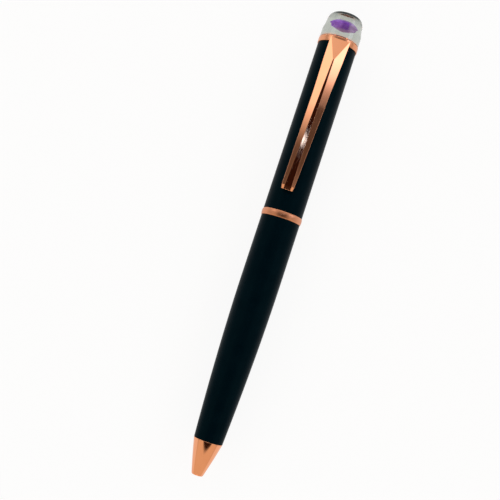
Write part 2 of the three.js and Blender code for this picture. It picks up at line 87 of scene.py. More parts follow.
NOSE_END = low_x("lower_barrel")
LOWER_END = low_x("centre_ring")
RING_END = high_x("centre_ring")
UPPER_START = low_x("upper_barrel")
UPPER_END = high_x("upper_barrel")
BAND_END = high_x("clip_band")
PEN_END = high_x("gem_dome")
# The photo shows the ring and the band to start a little nearer the dome than the frame does
RING_START = LOWER_END + 0.15
BAND_START = UPPER_END + 0.25
STONE_TABLE = PEN_END - 2.35

# A round face drawn through the flats of the frame's facets
FACET = math.cos(math.pi / 32)


# Meshes


def smooth_by_angle(mesh, degrees):
    """Smooth faces, with edges kept crisp where they turn by more than an angle."""
    bm = bmesh.new()
    bm.from_mesh(mesh)
    limit = math.radians(degrees)
    for face in bm.faces:
        face.smooth = True
    for edge in bm.edges:
        edge.smooth = len(edge.link_faces) == 2 and edge.calc_face_angle(0) < limit
    bm.to_mesh(mesh)
    bm.free()


def add_piece(name, vertices, faces, material, body, nodes=(), crisp=28):
    """A piece that rides on a body, in place of the frame's nodes named."""
    mesh = bpy.data.meshes.new(name)
    mesh.from_pydata(vertices, [], faces)
    bm = bmesh.new()
    bm.from_mesh(mesh)
    bmesh.ops.remove_doubles(bm, verts=bm.verts, dist=JOIN_DISTANCE)
    bmesh.ops.recalc_face_normals(bm, faces=bm.faces)
    bm.to_mesh(mesh)
    bm.free()
    smooth_by_angle(mesh, crisp)
    piece = bpy.data.objects.new(name, mesh)
    bpy.context.collection.objects.link(piece)
    mesh.materials.append(material)
    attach(piece, body)
    if nodes:
        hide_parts(*nodes)
    return piece


def turned(name, outline, material, body, nodes=(), crisp=28):
    """A piece turned about the pen's axis from a closed outline of stations and radii."""
    vertices = []
    faces = []
    count = len(outline)
    for i in range(TURN_SIDES):
        angle = 2 * math.pi * i / TURN_SIDES
        for station, radius in outline:
            vertices.append((
                mouth_x + station * MM,
                radius * MM * math.cos(angle),
                axis_z + radius * MM * math.sin(angle),
            ))
    for i in range(TURN_SIDES):
        here = i * count
        there = ((i + 1) % TURN_SIDES) * count
        for j in range(count):
            k = (j + 1) % count
            if outline[j][1] == 0 and outline[k][1] == 0:
                continue
            if outline[j][1] == 0:
                faces.append((here + j, here + k, there + k))
            elif outline[k][1] == 0:
                faces.append((here + j, here + k, there + j))
            else:
                faces.append((here + j, here + k, there + k, there + j))
    return add_piece(name, vertices, faces, material, body, nodes, crisp)


def arc(station, radius, size, start, end, steps):
    """Points round a corner, from one angle to another in degrees."""
    points = []
    for i in range(steps + 1):
        angle = math.radians(start + (end - start) * i / steps)
        points.append((station + size * math.cos(angle), radius + size * math.sin(angle)))
    return points


def bezier(start, control, end, steps):
    """Points along a quadratic curve, without its first point."""
    points = []
    for i in range(1, steps + 1):
        t = i / steps
        points.append(tuple(
            (1 - t) ** 2 * a + 2 * t * (1 - t) * b + t * t * c
            for a, b, c in zip(start, control, end)
        ))
    return points


def tangent_meeting(start, start_slope, end, end_slope):
    """Where the tangents at the two ends of a curve meet."""
    run = end[1] - start[1] - end_slope * (end[0] - start[0])
    along = run / (start_slope - end_slope)
    return (start[0] + along, start[1] + start_slope * along)


def joined_rings(rings, sides):
    """Faces that join rings of corners one to the next, and close the first and the last."""
    faces = []
    for i in range(rings - 1):
        here = sides * i
        there = here + sides
        for j in range(sides):
            k = (j + 1) % sides
            faces.append((here + j, here + k, there + k, there + j))
    faces.append(tuple(range(sides)))
    faces.append(tuple(range(sides * (rings - 1), sides * rings)))
    return faces


# Parts of material node trees


def new_material(name):
    material = bpy.data.materials.new(name)
    material.use_nodes = True
    tree = material.node_tree
    tree.nodes.clear()
    output = tree.nodes.new("ShaderNodeOutputMaterial")
    shader = tree.nodes.new("ShaderNodeBsdfPrincipled")
    tree.links.new(shader.outputs["BSDF"], output.inputs["Surface"])
    return material, tree, shader


def object_axes(tree):
    """X, Y and Z in the object's own coordinates, by those names."""
    coordinates = tree.nodes.new("ShaderNodeTexCoord")
    split = tree.nodes.new("ShaderNodeSeparateXYZ")
    tree.links.new(coordinates.outputs["Object"], split.inputs["Vector"])
    return split.outputs


def noise(tree, scale, detail=3.0, roughness=0.5, stretch=(1, 1, 1)):
    """Noise in the object's own coordinates, in cells per metre, stretched along an axis if asked."""
    coordinates = tree.nodes.new("ShaderNodeTexCoord")
    mapping = tree.nodes.new("ShaderNodeMapping")
    mapping.inputs["Scale"].default_value = stretch
    texture = tree.nodes.new("ShaderNodeTexNoise")
    texture.inputs["Scale"].default_value = scale
    texture.inputs["Detail"].default_value = detail
    texture.inputs["Roughness"].default_value = roughness
    tree.links.new(coordinates.outputs["Object"], mapping.inputs["Vector"])
    tree.links.new(mapping.outputs["Vector"], texture.inputs["Vector"])
    return texture.outputs["Fac"]


def remap(tree, value, low, high, from_low=0.3, from_high=0.7):
    node = tree.nodes.new("ShaderNodeMapRange")
    node.inputs["From Min"].default_value = from_low
    node.inputs["From Max"].default_value = from_high
    node.inputs["To Min"].default_value = low
    node.inputs["To Max"].default_value = high
    tree.links.new(value, node.inputs["Value"])
    return node.outputs["Result"]


def combine(tree, operation, first, second):
    """The sum, product or greater of two values."""
    node = tree.nodes.new("ShaderNodeMath")
    node.operation = operation
    tree.links.new(first, node.inputs[0])
    tree.links.new(second, node.inputs[1])
    return node.outputs[0]


def facing(tree, direction, towards):
    """The cosine of the angle between a direction and a fixed one."""
    node = tree.nodes.new("ShaderNodeVectorMath")
    node.operation = "DOT_PRODUCT"
    node.inputs[1].default_value = towards
    tree.links.new(direction, node.inputs[0])
    return node.outputs["Value"]


def blend_colours(tree, value, first, second):
    """A blend of two fixed colours."""
    node = tree.nodes.new("ShaderNodeMix")
    node.data_type = "RGBA"
    node.inputs["A"].default_value = (*first, 1)
    node.inputs["B"].default_value = (*second, 1)
    tree.links.new(value, node.inputs["Factor"])
    return node.outputs["Result"]


def lay_over(tree, share, under, colour):
    """A fixed colour laid over another by a share."""
    node = tree.nodes.new("ShaderNodeMix")
    node.data_type = "RGBA"
    tree.links.new(share, node.inputs["Factor"])
    tree.links.new(under, node.inputs["A"])
    node.inputs["B"].default_value = (*colour, 1)
    return node.outputs["Result"]


def mix_shaders(tree, share, first, second):
    node = tree.nodes.new("ShaderNodeMixShader")
    tree.links.new(share, node.inputs["Fac"])
    tree.links.new(first, node.inputs[1])
    tree.links.new(second, node.inputs[2])
    return node.outputs["Shader"]


def set_surface(tree, surface):
    output = next(node for node in tree.nodes if node.type == "OUTPUT_MATERIAL")
    tree.links.new(surface, output.inputs["Surface"])


def bump(tree, value, strength):
    """Bumps of a fiftieth of a millimetre."""
    node = tree.nodes.new("ShaderNodeBump")
    node.inputs["Strength"].default_value = strength
    node.inputs["Distance"].default_value = 0.02 * MM
    tree.links.new(value, node.inputs["Height"])
    return node.outputs["Normal"]


# Metals, lacquer and inner pieces

LACQUER_DARK = (0.0002, 0.0050, 0.0090)
LACQUER_LIGHT = (0.0008, 0.0070, 0.0115)
LACQUER_TINT = (0.3, 0.9, 1.0)


def metal(name, light, dark, smooth, rough, ripple):
    """Polished plate: a slow drift of colour, fine polishing marks and a faint ripple."""
    material, tree, shader = new_material(name)
    shader.inputs["Metallic"].default_value = 1.0
    drift = remap(tree, noise(tree, 160, 2.0), 0, 1)
    tree.links.new(blend_colours(tree, drift, light, dark), shader.inputs["Base Color"])
    marks = noise(tree, 2600, 3.0, 0.6, (0.25, 1, 1))
    tree.links.new(remap(tree, marks, smooth, rough), shader.inputs["Roughness"])
    tree.links.new(bump(tree, marks, ripple), shader.inputs["Normal"])
    return material


def lacquer_material():
    """Satin black-teal lacquer with a fine orange peel."""
    material, tree, shader = new_material("lacquer")
    shader.inputs["Specular IOR Level"].default_value = 0.035
    shader.inputs["Specular Tint"].default_value = (*LACQUER_TINT, 1)
    drift = remap(tree, noise(tree, 240, 3.0), 0, 1)
    colour = blend_colours(tree, drift, LACQUER_DARK, LACQUER_LIGHT)
    tree.links.new(colour, shader.inputs["Base Color"])
    peel = noise(tree, 3200, 2.0)
    tree.links.new(remap(tree, peel, 0.30, 0.42), shader.inputs["Roughness"])
    tree.links.new(bump(tree, peel, 0.12), shader.inputs["Normal"])
    return material


def plain_material(name, light, dark, roughness, metallic=0.0):
    """A turned or moulded inner piece with fine tool marks."""
    material, tree, shader = new_material(name)
    shader.inputs["Metallic"].default_value = metallic
    grain = noise(tree, 900, 3.0)
    colour = blend_colours(tree, remap(tree, grain, 0, 1), light, dark)
    tree.links.new(colour, shader.inputs["Base Color"])
    uneven = remap(tree, grain, roughness * 0.8, roughness * 1.2)
    tree.links.new(uneven, shader.inputs["Roughness"])
    tree.links.new(bump(tree, grain, 0.1), shader.inputs["Normal"])
    return material


# Clear acrylic

ACRYLIC_IOR = 1.49
ACRYLIC_LIGHT = (0.52, 0.55, 0.50)
ACRYLIC_DARK = (0.48, 0.51, 0.46)
# Painted dark reflection at the edge of the dome's end, standing in for the dark overhead seen in the
# acrylic: its two colours, how much it covers on the clip's side, and the share of that on the other sides
PAINTED_REFLECTION_PALE = (0.034, 0.044, 0.047)
PAINTED_REFLECTION_DEEP = (0.024, 0.032, 0.035)
PAINTED_REFLECTION_COVER = 0.94
PAINTED_REFLECTION_REST = 0.12
# Warm tint of the dome where it meets the gold band
FOOT_TINT = (0.80, 0.50, 0.36)


def painted_reflection_mask(tree):
    """Where the dome's shoulder gets its painted dark reflection, from 0 to its full cover."""
    axes = object_axes(tree)
    end = mouth_x + PEN_END * MM
    mask = remap(tree, axes["X"], 0, PAINTED_REFLECTION_COVER, end - 1.45 * MM, end - 0.95 * MM)
    clip_side = remap(tree, axes["Z"], PAINTED_REFLECTION_REST, 1, axis_z + 2.2 * MM, axis_z + 4.0 * MM)
    not_flat_end = remap(tree, axes["X"], 1, 0, end - 0.03 * MM, end - 0.01 * MM)
    mask = combine(tree, "MULTIPLY", mask, clip_side)
    return combine(tree, "MULTIPLY", mask, not_flat_end)


def foot_tint(tree, tint):
    """The acrylic's tint, warmed over the dome's foot."""
    foot = mouth_x + BAND_END * MM
    share = remap(tree, object_axes(tree)["X"], 1, 0, foot + 0.1 * MM, foot + 0.9 * MM)
    return lay_over(tree, share, tint, FOOT_TINT)


def clear_material():
    """Clear acrylic, which lets lamp light through to the stone."""
    material, tree, shader = new_material("clear_acrylic")
    shader.inputs["IOR"].default_value = ACRYLIC_IOR
    shader.inputs["Transmission Weight"].default_value = 1.0
    haze = noise(tree, 500, 2.0)
    haze_share = remap(tree, haze, 0, 1)
    tree.links.new(remap(tree, haze, 0.0, 0.03), shader.inputs["Roughness"])
    tint = blend_colours(tree, haze_share, ACRYLIC_LIGHT, ACRYLIC_DARK)
    tree.links.new(foot_tint(tree, tint), shader.inputs["Base Color"])
    # An opaque dark layer over the shoulder: painted dark reflection
    edge = tree.nodes.new("ShaderNodeBsdfPrincipled")
    edge.inputs["Specular IOR Level"].default_value = 0.02
    edge.inputs["Roughness"].default_value = 0.4
    painted_reflection = blend_colours(tree, haze_share, PAINTED_REFLECTION_PALE, PAINTED_REFLECTION_DEEP)
    tree.links.new(painted_reflection, edge.inputs["Base Color"])
    shaded = mix_shaders(tree, painted_reflection_mask(tree), shader.outputs["BSDF"], edge.outputs["BSDF"])
    clear = tree.nodes.new("ShaderNodeBsdfTransparent")
    path = tree.nodes.new("ShaderNodeLightPath")
    shadow = path.outputs["Is Shadow Ray"]
    set_surface(tree, mix_shaders(tree, shadow, shaded, clear.outputs["BSDF"]))
    return material


# Stone

# IOR of the stone over that of the acrylic round it
STONE_IOR = 1.04
# Painted glow: the stone gives off light in its own colours
STONE_PAINTED_GLOW = 0.2
STONE_RADIUS = 2.8
STONE_PALE = (0.72, 0.47, 0.90)
STONE_DEEP = (0.28, 0.035, 0.68)
STONE_PURPLE = (0.52, 0.18, 1.00)
# Colour zones across the stone: each place, from 0 at one side to 1 at the other, and its colour
STONE_ZONES = [
    (0.10, STONE_PALE),
    (0.27, STONE_PALE),
    (0.35, STONE_DEEP),
    (0.56, STONE_DEEP),
    (0.66, STONE_PURPLE),
    (0.95, STONE_PURPLE),
]
# How far the zones wander
ZONE_DRIFT = 0.35
# Direction of the light painted on the stone's facets, and the painted lit tone towards it and painted
# shade away from it
PAINTED_LIGHT_DIRECTION = (0.35, 0.50, 0.79)
FACET_PAINTED_LIT = (1.15, 1.15, 1.15)
FACET_PAINTED_SHADE = (0.62, 0.60, 0.66)
# Paler tone towards the stone's table and its point, and how much it covers
STONE_SOFT = (0.74, 0.58, 0.84)
SOFT_COVER = 0.7


def stone_zones(tree, y, cloud):
    """Violet zones across the stone's width, from pale mauve through deep violet to purple."""
    drift = remap(tree, cloud, -ZONE_DRIFT * MM, ZONE_DRIFT * MM)
    place = combine(tree, "ADD", y, drift)
    across = remap(tree, place, 0, 1, -STONE_RADIUS * MM, STONE_RADIUS * MM)
    zones = tree.nodes.new("ShaderNodeValToRGB")
    tree.links.new(across, zones.inputs["Fac"])
    stops = zones.color_ramp.elements
    stops[0].position = STONE_ZONES[0][0]
    stops[0].color = (*STONE_ZONES[0][1], 1)
    stops[1].position = STONE_ZONES[-1][0]
    stops[1].color = (*STONE_ZONES[-1][1], 1)
    for position, colour in STONE_ZONES[1:-1]:
        stop = stops.new(position)
        stop.color = (*colour, 1)
    return zones.outputs["Color"]


def stone_painted_light(tree):
    """Painted light and shade on each facet, by the way that it faces."""
    coordinates = tree.nodes.new("ShaderNodeTexCoord")
    towards_light = facing(tree, coordinates.outputs["Normal"], PAINTED_LIGHT_DIRECTION)
    facet = remap(tree, towards_light, 0, 1, 1, -1)
    return blend_colours(tree, facet, FACET_PAINTED_LIT, FACET_PAINTED_SHADE)


def stone_material():
    """Violet stone in zones of colour, with painted light and shade on its facets and a painted glow, paler
    at its table and its point.
    """
    material, tree, shader = new_material("violet_stone")
    shader.inputs["IOR"].default_value = STONE_IOR
    shader.inputs["Transmission Weight"].default_value = 0.1
    axes = object_axes(tree)
    cloud = noise(tree, 420, 2.0)
    # The zones multiplied by the painted light and shade of the facets
    shaded = tree.nodes.new("ShaderNodeMix")
    shaded.data_type = "RGBA"
    shaded.blend_type = "MULTIPLY"
    shaded.inputs["Factor"].default_value = 1.0
    tree.links.new(stone_zones(tree, axes["Y"], cloud), shaded.inputs["A"])
    tree.links.new(stone_painted_light(tree), shaded.inputs["B"])
    table = mouth_x + STONE_TABLE * MM
    at_table = remap(tree, axes["X"], 0, SOFT_COVER, table - 0.8 * MM, table)
    at_point = remap(tree, axes["X"], SOFT_COVER, 0, table - 2.95 * MM, table - 2.35 * MM)
    fade = combine(tree, "ADD", at_table, at_point)
    colour = lay_over(tree, fade, shaded.outputs["Result"], STONE_SOFT)
    tree.links.new(colour, shader.inputs["Base Color"])
    # Painted glow in the stone's colours
    tree.links.new(colour, shader.inputs["Emission Color"])
    shader.inputs["Emission Strength"].default_value = STONE_PAINTED_GLOW
    tree.links.new(remap(tree, cloud, 0.10, 0.20), shader.inputs["Roughness"])
    return material


# Looks of the frame's material slots

ROSE_GOLD = metal("rose_gold", (0.88, 0.380, 0.200), (0.84, 0.345, 0.175), 0.03, 0.07, 0.03)
# The ring and the band use darker copies of the polished rose gold: painted shade, beside their rougher
# finish
SATIN_GOLD_SHADED = metal("rose_gold_satin_shaded", (0.70, 0.295, 0.160), (0.67, 0.270, 0.140), 0.34, 0.42, 0.08)
BAND_GOLD_SHADED = metal("rose_gold_band_shaded", (0.78, 0.335, 0.175), (0.75, 0.305, 0.155), 0.22, 0.30, 0.06)
LACQUER = lacquer_material()
CLEAR = clear_material()
STONE = stone_material()
SLOT_MATERIALS = {
    "rose_gold": ROSE_GOLD,
    "lacquer": LACQUER,
    "brass": plain_material("brass", (0.62, 0.44, 0.17), (0.54, 0.37, 0.13), 0.3, 1.0),
    "tip_brass": plain_material("tip_brass", (0.66, 0.52, 0.26), (0.60, 0.45, 0.20), 0.22, 1.0),
    "steel": plain_material("steel", (0.60, 0.61, 0.63), (0.50, 0.51, 0.53), 0.22, 1.0),
    "refill_metal": plain_material("refill_metal", (0.55, 0.56, 0.58), (0.47, 0.48, 0.50), 0.3, 1.0),
    "nylon": plain_material("nylon", (0.70, 0.68, 0.60), (0.62, 0.60, 0.52), 0.55),
    "rubber": plain_material("rubber", (0.022, 0.022, 0.022), (0.014, 0.014, 0.014), 0.7),
    "clear_acrylic": CLEAR,
    "violet_stone": STONE,
}

for subpart in frame["record"]["subparts"]:
    node = frame["nodes"][subpart["node"]]
    node.data.materials.clear()
    node.data.materials.append(SLOT_MATERIALS[subpart["material_slot"]])


# Nose cone

MOUTH_RADIUS = 1.25 * FACET
MOUTH_ROUND = 0.1
LIP_LENGTH = 0.5
LIP_RADIUS = 1.79 * FACET
TIP_SLOPE = 0.285
NOSE_BASE_RADIUS = 4.26 * FACET
NOSE_BASE_ROUND = 0.12
BASE_SLOPE = 0.225
# The bore behind the mouth: each station and radius, from the barrel's end forward
NOSE_BORE = [
    (NOSE_END, 3.5),
    (NOSE_END, 3.1),
    (8.3, 3.1),
    (8.3, 2.3),
    (4.7, 2.3),
    (4.7, MOUTH_RADIUS),
]


def nose_cone():
    mouth_edge = (0, MOUTH_RADIUS + MOUTH_ROUND)
    lip_edge = (LIP_LENGTH, LIP_RADIUS)
    lip_control = (0, LIP_RADIUS - TIP_SLOPE * LIP_LENGTH)
    base = (NOSE_END - NOSE_BASE_ROUND, NOSE_BASE_RADIUS)
    control = tangent_meeting(lip_edge, TIP_SLOPE, base, BASE_SLOPE)
    outline = [
        (MOUTH_ROUND, MOUTH_RADIUS),
        (MOUTH_ROUND / 3, MOUTH_RADIUS + MOUTH_ROUND / 3),
        mouth_edge,
        *bezier(mouth_edge, lip_control, lip_edge, 10),
        *bezier(lip_edge, control, base, 40),
        *arc(base[0], base[1] - NOSE_BASE_ROUND, NOSE_BASE_ROUND, 75, 0, 4),
        *NOSE_BORE,
    ]
    return turned("nose_shell", outline, ROSE_GOLD, "lower_half", ["nose_cone"])


# Barrels

EDGE_ROUND = 0.15
LOWER_FRONT_RADIUS = 4.25 * FACET
LOWER_FRONT_SLOPE = 0.058
BELLY_RADIUS = 5.81 * FACET
BELLY_STATION = NOSE_END + 47.9
LOWER_REAR_RADIUS = 5.8 * FACET
# The lower barrel's bore: each station and radius, from its rear forward
LOWER_BORE = [
    (RING_START, 4.6),
    (LOWER_END - 3, 4.6),
    (LOWER_END - 3, 4.1),
    (NOSE_END + 8, 4.0),
    (NOSE_END + 8, 3.75),
]
UPPER_RADIUS = 5.83 * FACET
UPPER_BORE = 4.95


def lower_barrel():
    front = (NOSE_END + EDGE_ROUND, LOWER_FRONT_RADIUS)
    belly = (BELLY_STATION, BELLY_RADIUS)
    rear = (RING_START - EDGE_ROUND, LOWER_REAR_RADIUS)
    rise = tangent_meeting(front, LOWER_FRONT_SLOPE, belly, 0)
    outline = [
        (NOSE_END, 3.75),
        *arc(front[0], front[1] - EDGE_ROUND, EDGE_ROUND, 180, 90, 5),
        *bezier(front, rise, belly, 48),
        *bezier(belly, ((belly[0] + rear[0]) / 2, BELLY_RADIUS), rear, 16),
        *arc(rear[0], rear[1] - EDGE_ROUND, EDGE_ROUND, 84, 0, 4),
        *LOWER_BORE,
    ]
    return turned("lower_barrel_shell", outline, LACQUER, "lower_half", ["lower_barrel"])


def upper_barrel():
    front = (UPPER_START + EDGE_ROUND, UPPER_RADIUS)
    rear = (BAND_START - EDGE_ROUND, UPPER_RADIUS)
    middle = ((front[0] + rear[0]) / 2, UPPER_RADIUS)
    outline = [
        (UPPER_START, UPPER_BORE),
        *arc(front[0], front[1] - EDGE_ROUND, EDGE_ROUND, 180, 90, 5),
        *bezier(front, middle, rear, 16),
        *arc(rear[0], rear[1] - EDGE_ROUND, EDGE_ROUND, 84, 0, 4),
        (BAND_START, UPPER_BORE),
    ]
    return turned("upper_barrel_shell", outline, LACQUER, "upper_half", ["upper_barrel"])


# Rings, whose edges keep crisp beyond this angle

RING_CRISP = 50
RING_RADIUS = half_width("centre_ring")
RING_BORE = 4.7
BAND_RADIUS = 6.05 * FACET
BAND_BORE = 3.95
# Notch in the band for the clip's root: its floor above the axis, its clearance and its sizes
NOTCH_FLOOR = 4.9
NOTCH_CLEARANCE = 0.1
NOTCH_SIZE = (3, 2.4, 3)


def crowned_outline(start, end, radius, bore, edge, drop, swell):
    """A ring's outline, with rounded edges of a length and drop, and a face that swells to its middle."""
    middle = (start + end) / 2
    land = radius - swell
    front = (start, radius - drop)
    front_land = (start + edge, land)
    rear_land = (end - edge, land)
    rear = (end, radius - drop)
    return [
        (start, bore),
        front,
        *bezier(front, (start + edge / 3, land - swell / 2), front_land, 8),
        *bezier(front_land, (middle, radius + swell), rear_land, 12),
        *bezier(rear_land, (end - edge / 3, land - swell / 2), rear, 8),
        (end, bore),
    ]


def centre_ring():
    outline = crowned_outline(RING_START, RING_END, RING_RADIUS, RING_BORE, 0.45, 0.2, 0.05)
    return turned(
        "centre_ring_fine", outline, SATIN_GOLD_SHADED, "lower_half", ["centre_ring"],
        crisp=RING_CRISP,
    )


def notch_cutter():
    """A box that reaches forward from the clip's root, over the band's notch."""
    mesh = bpy.data.meshes.new("notch_cutter")
    bm = bmesh.new()
    bmesh.ops.create_cube(bm, size=1.0)
    bm.to_mesh(mesh)
    bm.free()
    cutter = bpy.data.objects.new("notch_cutter", mesh)
    bpy.context.collection.objects.link(cutter)
    length, width, height = (size * MM for size in NOTCH_SIZE)
    middle = (
        mouth_x + (CLIP_ROOT + NOTCH_CLEARANCE) * MM - length / 2,
        CLIP_SHIFT * MM,
        axis_z + NOTCH_FLOOR * MM + height / 2,
    )
    cutter.matrix_world = Matrix.Translation(middle) @ Matrix.Diagonal((length, width, height, 1))
    return cutter


def top_band():
    outline = crowned_outline(BAND_START, BAND_END, BAND_RADIUS, BAND_BORE, 0.25, 0.08, 0.004)
    band = turned(
        "top_band_fine", outline, BAND_GOLD_SHADED, "upper_half", ["clip_band"],
        crisp=RING_CRISP,
    )
    cutter = notch_cutter()
    modifier = band.modifiers.new("notch", "BOOLEAN")
    modifier.operation = "DIFFERENCE"
    modifier.solver = "EXACT"
    modifier.object = cutter
    bpy.context.view_layer.update()
    depsgraph = bpy.context.evaluated_depsgraph_get()
    result = bpy.data.meshes.new_from_object(band.evaluated_get(depsgraph))
    band.modifiers.clear()
    band.data = result
    bpy.data.objects.remove(cutter)
    smooth_by_angle(band.data, RING_CRISP)
    return band


# Clear dome, solid round the stone

DOME_FOOT = BAND_END + 0.02
DOME_RADIUS = 5.95 * FACET
DOME_FOOT_ROUND = 0.05
DOME_STEP = BAND_END + 2.9
DOME_STEP_LENGTH = 0.4
DOME_STEP_DROP = 0.06
DOME_SHOULDER = (PEN_END - 2.51, 5.44 * FACET)
DOME_TOP = (PEN_END, 3.7 * FACET)


def gem_dome():
    low_step = (DOME_STEP + DOME_STEP_LENGTH, DOME_RADIUS - DOME_STEP_DROP)
    side_control = (DOME_SHOULDER[0] - 1.4, low_step[1] - 0.3)
    end_control = (PEN_END - 0.21, DOME_SHOULDER[1] - 0.28)
    outline = [
        (DOME_FOOT, 0),
        (DOME_FOOT, DOME_RADIUS - DOME_FOOT_ROUND),
        (DOME_FOOT + DOME_FOOT_ROUND, DOME_RADIUS),
        (DOME_STEP, DOME_RADIUS),
        low_step,
        *bezier(low_step, side_control, DOME_SHOULDER, 14),
        *bezier(DOME_SHOULDER, end_control, DOME_TOP, 18),
        (PEN_END, 0),
    ]
    nodes = ["gem_dome", "gem_plug"]
    return turned("dome_clear", outline, CLEAR, "upper_half", nodes, crisp=40)


# Return spring, which the refill squashes

SPRING_START = low_x("return_spring")
SPRING_END = high_x("return_spring")
SPRING_TURNS = 7
SPRING_STEPS = 24 * SPRING_TURNS
SPRING_WIRE = 0.2
SPRING_SIDES = 8


def return_spring():
    """A coil of round wire, as rings of corners joined along the coil and closed at both ends."""
    radius = half_width("return_spring") - SPRING_WIRE
    start = SPRING_START + SPRING_WIRE
    length = SPRING_END - SPRING_START - 2 * SPRING_WIRE
    vertices = []
    for i in range(SPRING_STEPS + 1):
        angle = 2 * math.pi * SPRING_TURNS * i / SPRING_STEPS
        outward = Vector((0, math.cos(angle), math.sin(angle)))
        for j in range(SPRING_SIDES):
            turn = 2 * math.pi * j / SPRING_SIDES
            point = outward * (radius + SPRING_WIRE * math.cos(turn))
            station = start + length * i / SPRING_STEPS + SPRING_WIRE * math.sin(turn)
            vertices.append((mouth_x + station * MM, point.y * MM, axis_z + point.z * MM))
    spring = add_piece(
        "spring_fine", vertices, joined_rings(SPRING_STEPS + 1, SPRING_SIDES), SLOT_MATERIALS["steel"],
        "lower_half", ["return_spring"], crisp=60,
    )
    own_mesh(spring)
    return spring


# Stone, cut with a table, a crown and a rounded pavilion

STONE_GIRDLE = STONE_TABLE - 1.1
# Each ring of corners: its station, its radius, its corners and its turn as a share of one corner
STONE_RINGS = [
    (STONE_TABLE, 1.7, 8, 0.0),
    (STONE_TABLE - 0.45, 2.3, 8, 0.5),
    (STONE_GIRDLE, STONE_RADIUS, 16, 0.0),
    (STONE_GIRDLE - 0.15, STONE_RADIUS, 16, 0.0),
    (STONE_GIRDLE - 0.95, 2.35, 8, 0.5),
    (STONE_GIRDLE - 1.60, 1.45, 8, 0.0),
    (STONE_GIRDLE - 2.05, 0.35, 8, 0.5),
]
# Faces that differ by less than this angle become one facet
FACET_LIMIT = math.radians(0.5)


def cut_stone():
    bm = bmesh.new()
    for station, radius, corners, turn in STONE_RINGS:
        for i in range(corners):
            angle = 2 * math.pi * (i + turn) / corners
            bm.verts.new((station, radius * math.sin(angle), radius * math.cos(angle)))
    hull = bmesh.ops.convex_hull(bm, input=bm.verts)
    spare = [item for item in hull["geom_interior"] if isinstance(item, bmesh.types.BMVert)]
    bmesh.ops.delete(bm, geom=spare, context="VERTS")
    bmesh.ops.dissolve_limit(bm, angle_limit=FACET_LIMIT, verts=bm.verts, edges=bm.edges)
    bm.verts.index_update()
    vertices = [
        (mouth_x + vertex.co.x * MM, vertex.co.y * MM, axis_z + vertex.co.z * MM)
        for vertex in bm.verts
    ]
    faces = [tuple(vertex.index for vertex in face.verts) for face in bm.faces]
    bm.free()
    return add_piece(
        "stone_fine", vertices, faces, STONE, "upper_half", ["gemstone"], crisp=1,
    )


# Clip

CLIP_ROOT = UPPER_END + 0.95
CLIP_LENGTH = 46.4
CLIP_SKEW = 0.027
CLIP_SHIFT = -0.09
CLIP_UNDER = 6.2
CLIP_BOW = 0.4
CLIP_PLATE = 0.5
# Half widths at the root, at the waist and at the tip, and how far along the waist is
ROOT_HALF = 3.0
WAIST_HALF = 2.37
TIP_HALF = 1.82
WAIST_ALONG = 0.45
# Height of the roof-shaped face above the plate's edges, at the root and at the tip
ROOT_ROOF = 1.55
TIP_ROOF = 0.45
# Half width of the flat along the ridge where the hip ends, and how much it gains by the tip
RIDGE_FLAT = 0.16
RIDGE_GAIN = 0.86
HIP_LENGTH = 6.65
ROOF_END = 0.975
CLIP_STEPS = 60


def smoothstep(value, low, high):
    t = min(max((value - low) / (high - low), 0), 1)
    return t * t * (3 - 2 * t)


def mix(a, b, t):
    return a + (b - a) * t


def clip_section(along, roof_share, flat, loss):
    """Corners of the clip's cross-section at a fraction of its length from the root."""
    waist = mix(ROOT_HALF, WAIST_HALF, smoothstep(along, 0, WAIST_ALONG))
    past_waist = min(max((along - WAIST_ALONG) / (1 - WAIST_ALONG), 0), 1)
    half = mix(waist, TIP_HALF, past_waist) - loss
    under = CLIP_UNDER + CLIP_BOW * math.sin(math.pi * along)
    edge = under + CLIP_PLATE
    ridge = edge + mix(ROOT_ROOF, TIP_ROOF, along) * roof_share
    flat = min(flat, half - 0.1)
    return [
        (-half, under),
        (half, under),
        (half, edge),
        (flat, ridge),
        (-flat, ridge),
        (-half, edge),
    ]


def clip_piece():
    hip_share = HIP_LENGTH / CLIP_LENGTH
    stations = [(0, clip_section(0, 0.02, 2.7, 0))]
    for i in range(CLIP_STEPS + 1):
        along = hip_share + (ROOF_END - hip_share) * i / CLIP_STEPS
        spread = (along - hip_share) / (1 - hip_share)
        flat = RIDGE_FLAT + RIDGE_GAIN * spread
        stations.append((along, clip_section(along, 1, flat, 0)))
    stations.append((1, clip_section(1, 0.1, 1.1, 0.2)))
    vertices = []
    turn = Matrix.Rotation(-CLIP_SKEW, 3, "Z")
    for along, corners in stations:
        for across, height in corners:
            point = turn @ Vector((-along * CLIP_LENGTH, across, 0))
            vertices.append((
                mouth_x + (CLIP_ROOT + point.x) * MM,
                (point.y + CLIP_SHIFT) * MM,
                axis_z + height * MM,
            ))
    faces = joined_rings(len(stations), len(stations[0][1]))
    clip = add_piece(
        "clip_fine", vertices, faces, ROSE_GOLD, "clip", ["clip"], crisp=12,
    )
    bevel = clip.modifiers.new("edges", "BEVEL")
    bevel.width = 0.05 * MM
    bevel.segments = 2
    bevel.limit_method = "ANGLE"
    bevel.angle_limit = math.radians(14)
    bevel.harden_normals = False
    return clip


nose_cone()
lower_barrel()
centre_ring()
upper_barrel()
top_band()
return_spring()
gem_dome()
cut_stone()
clip_piece()


# Camera, at the photograph's viewing angle

IMAGE = 500
PIXELS_PER_MM = 3.463
SENSOR_WIDTH = 36
# In millimetres: the camera's height above the axis and its station, and where it aims
CAMERA_HEIGHT = 263
CAMERA_STATION = 42.2
AIM_STATION = 65.3
AIM_ASIDE = 5.68
PEN_LEAN = math.radians(18.2)


